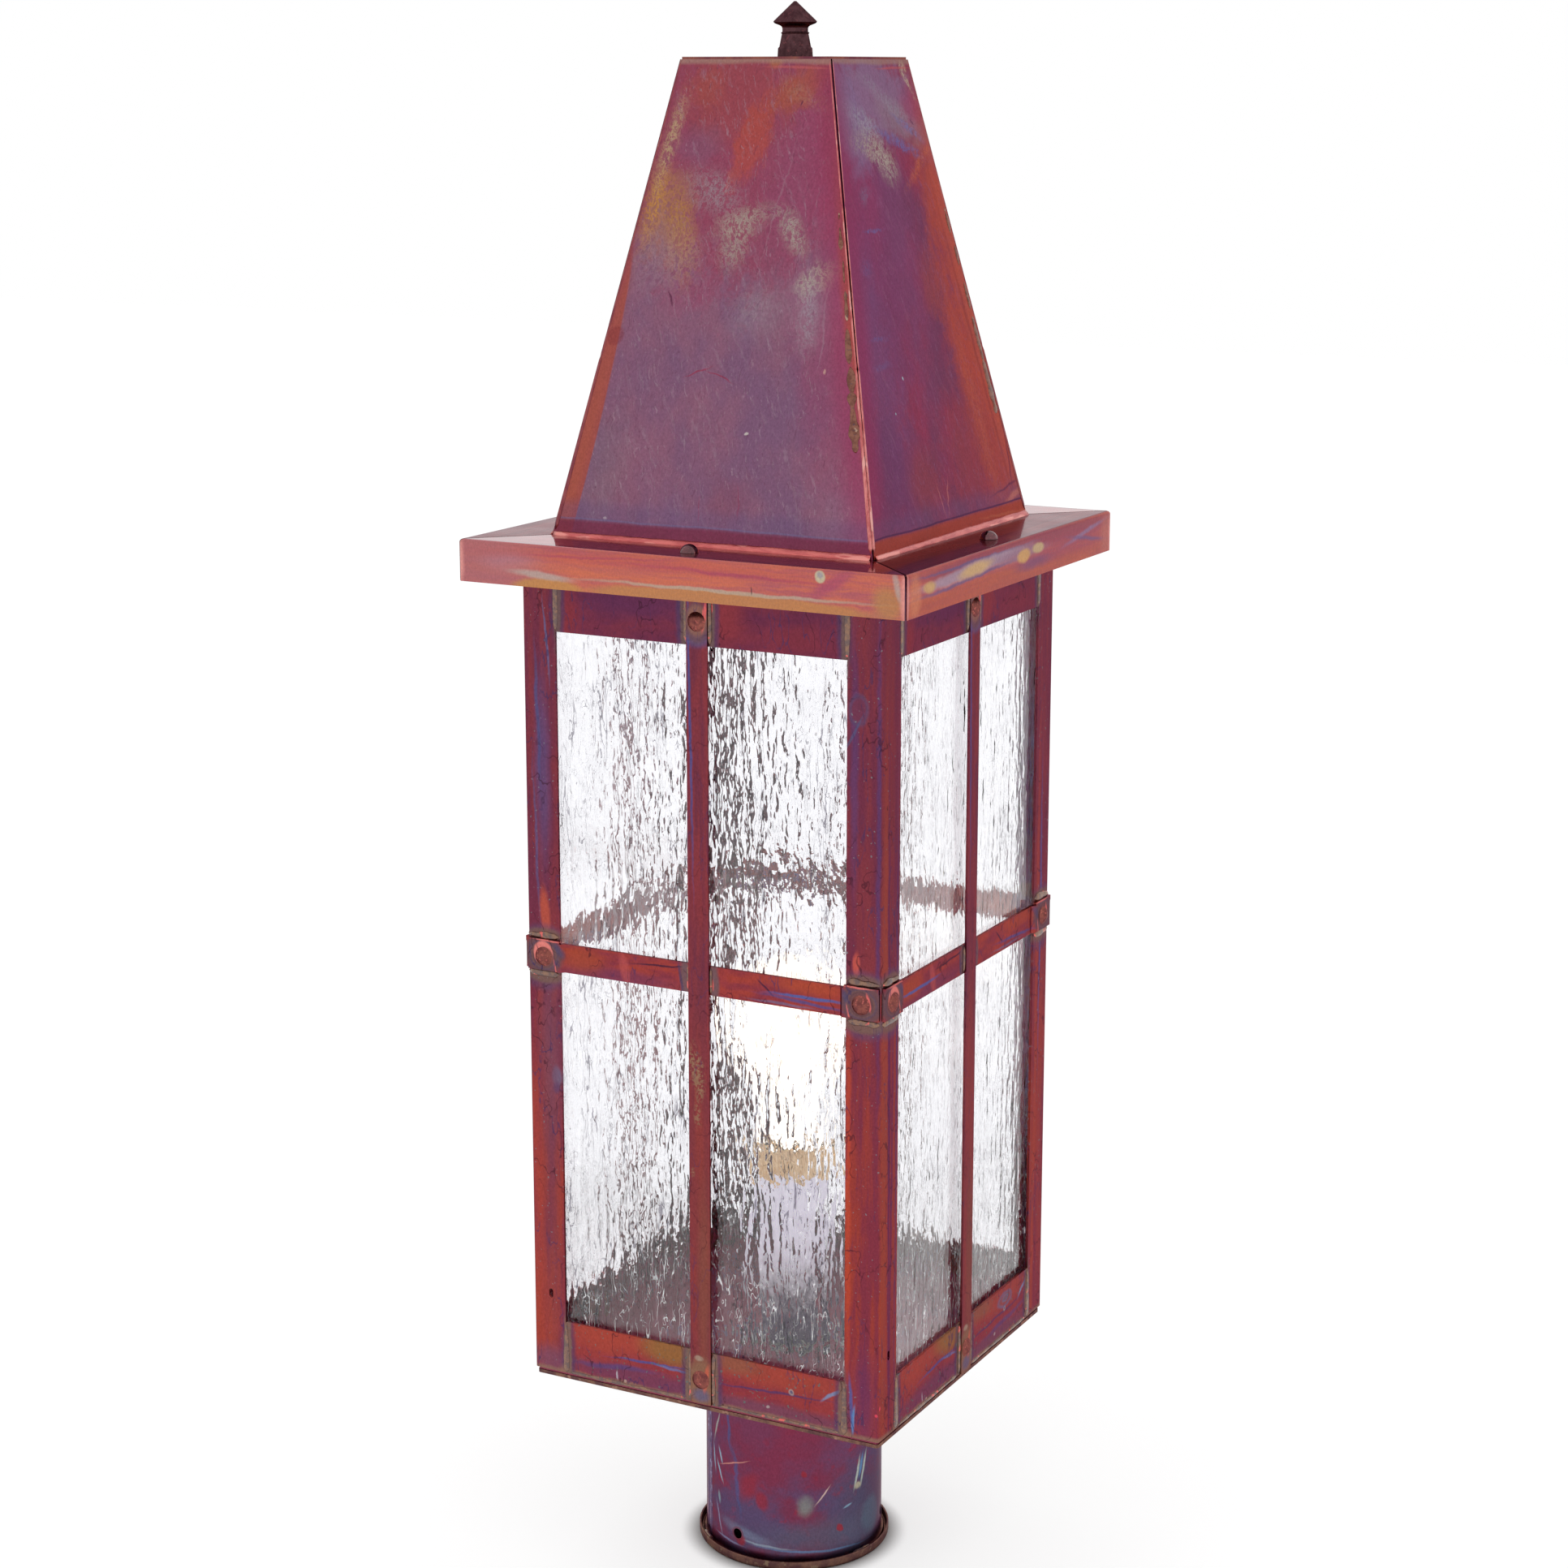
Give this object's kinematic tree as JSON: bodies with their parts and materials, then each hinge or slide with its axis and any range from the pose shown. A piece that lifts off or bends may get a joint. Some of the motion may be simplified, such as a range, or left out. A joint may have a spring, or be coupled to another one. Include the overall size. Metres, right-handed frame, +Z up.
{
  "type": "post top lantern",
  "caption": "Square post-top lantern in patinated sheet copper, with rain-glass sides crossed by riveted straps, a tall tapering roof with a square finial, and a round slip-over post fitter.",
  "frame": {"origin": "centre of the foot ring's underside, where the post enters the fitter", "axes": "+Z up along the fitter's and the lantern's axis; -Y towards the front face; +X to the right of it"},
  "size_m": [0.21, 0.21, 0.694],
  "materials": {
    "fitter_copper": "heat-patinated sheet copper, satin",
    "base_copper": "heat-patinated sheet copper, satin",
    "frame_copper": "heat-patinated sheet copper, satin, soldered",
    "rivet_copper": "patinated copper",
    "clip_copper": "plain copper",
    "rain_glass": "clear rolled glass with vertical rivulets",
    "nut_steel": "plain steel",
    "lamp_brass": "polished brass",
    "nipple_steel": "zinc-plated steel",
    "socket_insulator": "moulded, matt",
    "contact_brass": "plain brass",
    "sleeve_white": "satin",
    "bulb_glass": "clear, smooth",
    "bulb_cap_metal": "plain, rolled thread",
    "filament_wire": "glowing wire",
    "roof_copper": "heat-patinated sheet copper, satin",
    "skirt_copper": "heat-patinated sheet copper, satin",
    "finial_bronze": "dark patinated casting",
    "screw_brass": "dark patinated"
  },
  "bodies": {
    "lantern": {"fitter_tube": "fitter_copper", "fitter_ring": "fitter_copper", "base_plate": "base_copper", "base_pan": "base_copper", "corner_post_front_right": "frame_copper", "corner_post_back_right": "frame_copper", "corner_post_back_left": "frame_copper", "corner_post_front_left": "frame_copper", "top_rail_front": "frame_copper", "top_rail_right": "frame_copper", "top_rail_back": "frame_copper", "top_rail_left": "frame_copper", "bottom_rail_front": "frame_copper", "bottom_rail_right": "frame_copper", "bottom_rail_back": "frame_copper", "bottom_rail_left": "frame_copper", "mullion_front": "frame_copper", "mullion_right": "frame_copper", "mullion_back": "frame_copper", "mullion_left": "frame_copper", "strap_front": "frame_copper", "strap_right": "frame_copper", "strap_back": "frame_copper", "strap_left": "frame_copper", "mullion_rivets": "rivet_copper", "strap_rivets": "rivet_copper", "glass_clips": "clip_copper", "glass_pane_front": "rain_glass", "glass_pane_right": "rain_glass", "glass_pane_back": "rain_glass", "glass_pane_left": "rain_glass", "screw_nuts": "nut_steel", "flange_rivets": "nut_steel", "lamp_flange": "lamp_brass", "socket_collar": "lamp_brass", "lamp_nipple": "nipple_steel", "socket_body": "socket_insulator", "screw_shell": "contact_brass", "centre_contact": "contact_brass", "candle_sleeve": "sleeve_white"},
    "roof": {"roof_panel_front": "roof_copper", "roof_panel_right": "roof_copper", "roof_panel_back": "roof_copper", "roof_panel_left": "roof_copper", "roof_cap": "roof_copper", "skirt_front": "skirt_copper", "skirt_right": "skirt_copper", "skirt_back": "skirt_copper", "skirt_left": "skirt_copper", "finial_stud": "nipple_steel", "stud_nut": "nut_steel"},
    "finial": {"finial": "finial_bronze"},
    "bulb": {"bulb_envelope": "bulb_glass", "bulb_stem": "bulb_glass", "bulb_cap": "bulb_cap_metal", "bulb_filament": "filament_wire"},
    "roof_screw_front": {"roof_screw_front": "screw_brass"},
    "roof_screw_right": {"roof_screw_right": "screw_brass"},
    "roof_screw_back": {"roof_screw_back": "screw_brass"},
    "roof_screw_left": {"roof_screw_left": "screw_brass"}
  },
  "joints": [
    {"name": "roof_lift", "type": "slide", "parent": "lantern", "child": "roof", "axis": [0, 0, 1], "range_m": [0, 0.12]},
    {"name": "finial_turn", "type": "hinge", "parent": "roof", "child": "finial", "pos_m": [0, 0, 0.671], "axis": [0, 0, 1], "continuous": true},
    {"name": "bulb_out", "type": "slide", "parent": "lantern", "child": "bulb", "axis": [0, 0, 1], "range_m": [0, 0.028]},
    {"name": "roof_screw_front_out", "type": "slide", "parent": "roof", "child": "roof_screw_front", "axis": [0, 0, 1], "range_m": [0, 0.0125]},
    {"name": "roof_screw_right_out", "type": "slide", "parent": "roof", "child": "roof_screw_right", "axis": [0, 0, 1], "range_m": [0, 0.0125]},
    {"name": "roof_screw_back_out", "type": "slide", "parent": "roof", "child": "roof_screw_back", "axis": [0, 0, 1], "range_m": [0, 0.0125]},
    {"name": "roof_screw_left_out", "type": "slide", "parent": "roof", "child": "roof_screw_left", "axis": [0, 0, 1], "range_m": [0, 0.0125]}
  ]
}
